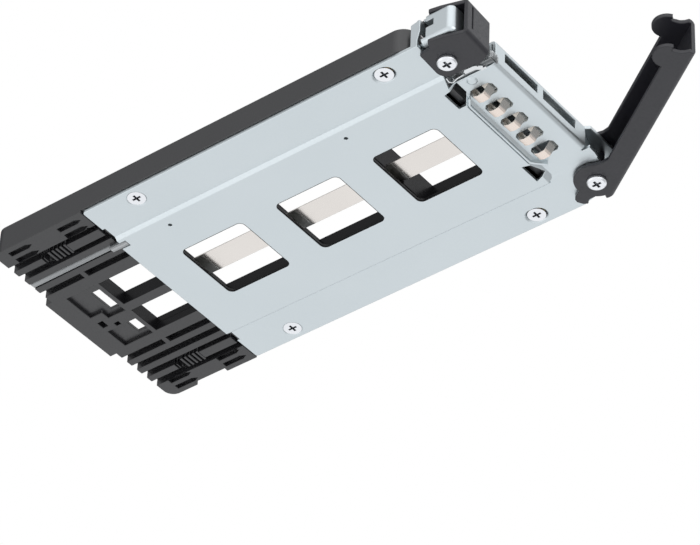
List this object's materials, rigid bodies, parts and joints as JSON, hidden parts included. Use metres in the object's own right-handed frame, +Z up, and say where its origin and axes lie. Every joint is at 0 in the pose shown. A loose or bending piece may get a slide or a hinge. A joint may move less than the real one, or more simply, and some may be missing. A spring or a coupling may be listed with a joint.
{
  "type": "hot swap drive caddy",
  "caption": "Folded steel caddy for a 2.5 inch drive with an ejector lever, a sprung release latch, contact fingers and a plastic drive blank on screws.",
  "frame": {"origin": "centre of the four drive screws, on the lower face of the tray's pressed centre panel", "axes": "+Y into the bay, away from the face; +X to the right seen from the front; +Z up, from the tray to the drive"},
  "size_m": [0.0699, 0.1867, 0.0122],
  "materials": {
    "galvanised_steel": "smooth galvanised sheet with a soft sheen",
    "black_powder_coat": "satin black powder coat",
    "black_moulding": "fine matt moulded surface",
    "zinc_screws": "bright zinc plating",
    "spring_steel": "bright rolled stainless steel",
    "clear_moulding": "clear polished moulding",
    "brass_inserts": "turned brass"
  },
  "bodies": {
    "caddy": {"tray": "galvanised_steel", "latch_housing": "galvanised_steel", "lever_pivot_screw": "zinc_screws", "lever_spacer": "black_powder_coat", "latch_pivot_screw": "zinc_screws", "latch_spacer": "black_powder_coat", "latch_spring": "spring_steel", "finger_strip": "spring_steel", "drive_blank": "black_moulding", "centre_strip": "spring_steel", "light_pipe": "clear_moulding", "tray_screw_front_left": "zinc_screws", "tray_screw_rear_left": "zinc_screws", "tray_screw_front_right": "zinc_screws", "tray_screw_rear_right": "zinc_screws", "threaded_insert_front_left": "brass_inserts", "threaded_insert_rear_left": "brass_inserts", "threaded_insert_front_right": "brass_inserts", "threaded_insert_rear_right": "brass_inserts"},
    "lever": {"lever": "black_powder_coat"},
    "latch": {"latch": "black_powder_coat"}
  },
  "joints": [
    {"name": "lever_pivot", "type": "hinge", "parent": "caddy", "child": "lever", "pos_m": [0.0277, -0.0584, 0.005], "axis": [0, 0, 1], "range_deg": [-55.6, 0]},
    {"name": "latch_pivot", "type": "hinge", "parent": "caddy", "child": "latch", "pos_m": [-0.0272, -0.0541, 0.005], "axis": [0, 0, 1], "range_deg": [-13, 0], "stiffness_Nm_per_rad": 0.05, "springref_deg": 17.19}
  ]
}
